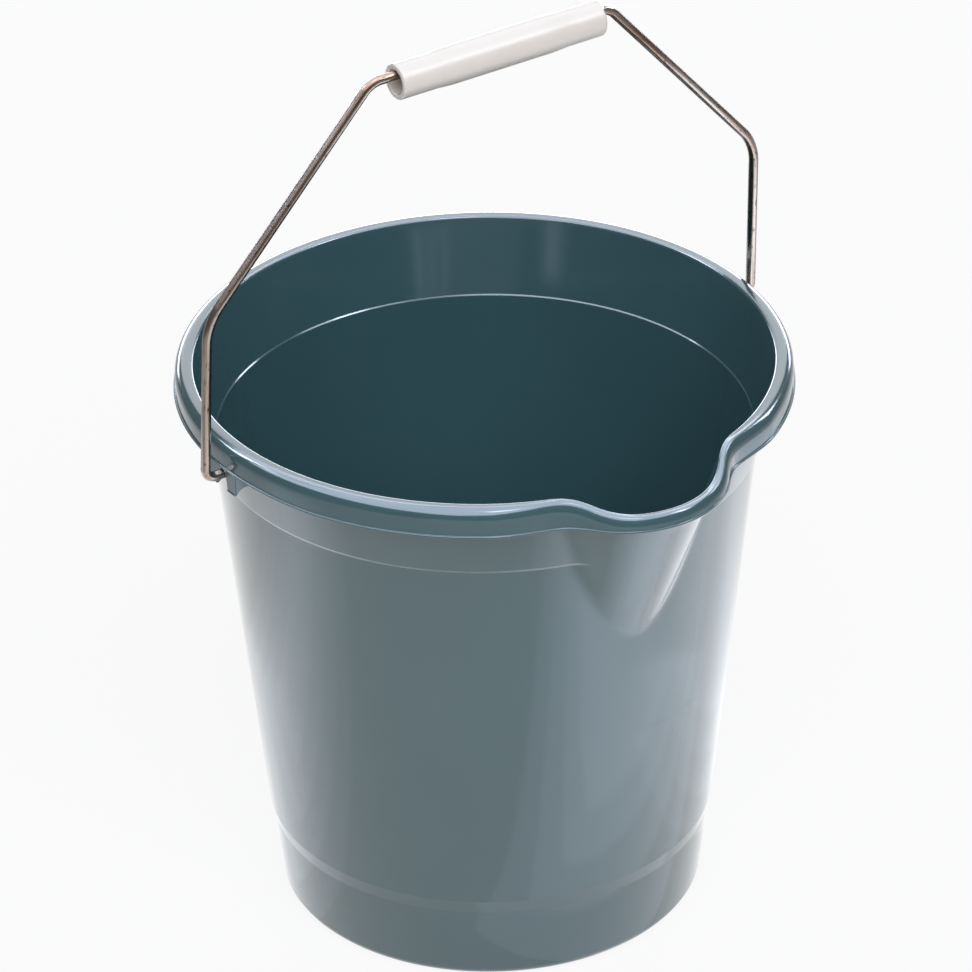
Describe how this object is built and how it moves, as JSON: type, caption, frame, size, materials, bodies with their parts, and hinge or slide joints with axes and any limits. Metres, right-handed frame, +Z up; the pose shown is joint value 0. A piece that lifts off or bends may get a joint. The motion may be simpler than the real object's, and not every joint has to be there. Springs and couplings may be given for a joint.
{
  "type": "bucket with bail handle",
  "caption": "Tapered moulded plastic bucket with a rolled rim, a pouring spout, a stepped foot and a swinging wire bail with a loose tube grip, for carrying and pouring.",
  "frame": {"origin": "the middle of the foot ring, on the floor that the bucket stands on", "axes": "+Z up through the mouth; X through the two ears, which is the axis that the bail swings about; -Y towards the spout"},
  "size_m": [0.3046, 0.2999, 0.442],
  "materials": {
    "bucket_plastic": "moulded blue-grey polypropylene with a soft gloss",
    "wire": "drawn steel wire with a dull plating, a little spotted",
    "grip_plastic": "off-white moulded polyethylene, satin"
  },
  "bodies": {
    "bucket": {"bucket_body": "bucket_plastic"},
    "bail": {"bail": "wire"},
    "grip": {"grip": "grip_plastic"}
  },
  "joints": [
    {"name": "bail_swing", "type": "hinge", "parent": "bucket", "child": "bail", "pos_m": [0, 0, 0.2606], "axis": [1, 0, 0], "range_deg": [-135, 130]},
    {"name": "grip_spin", "type": "hinge", "parent": "bail", "child": "grip", "pos_m": [0, -0.00891, 0.43657], "axis": [1, 0, 0], "continuous": true}
  ]
}
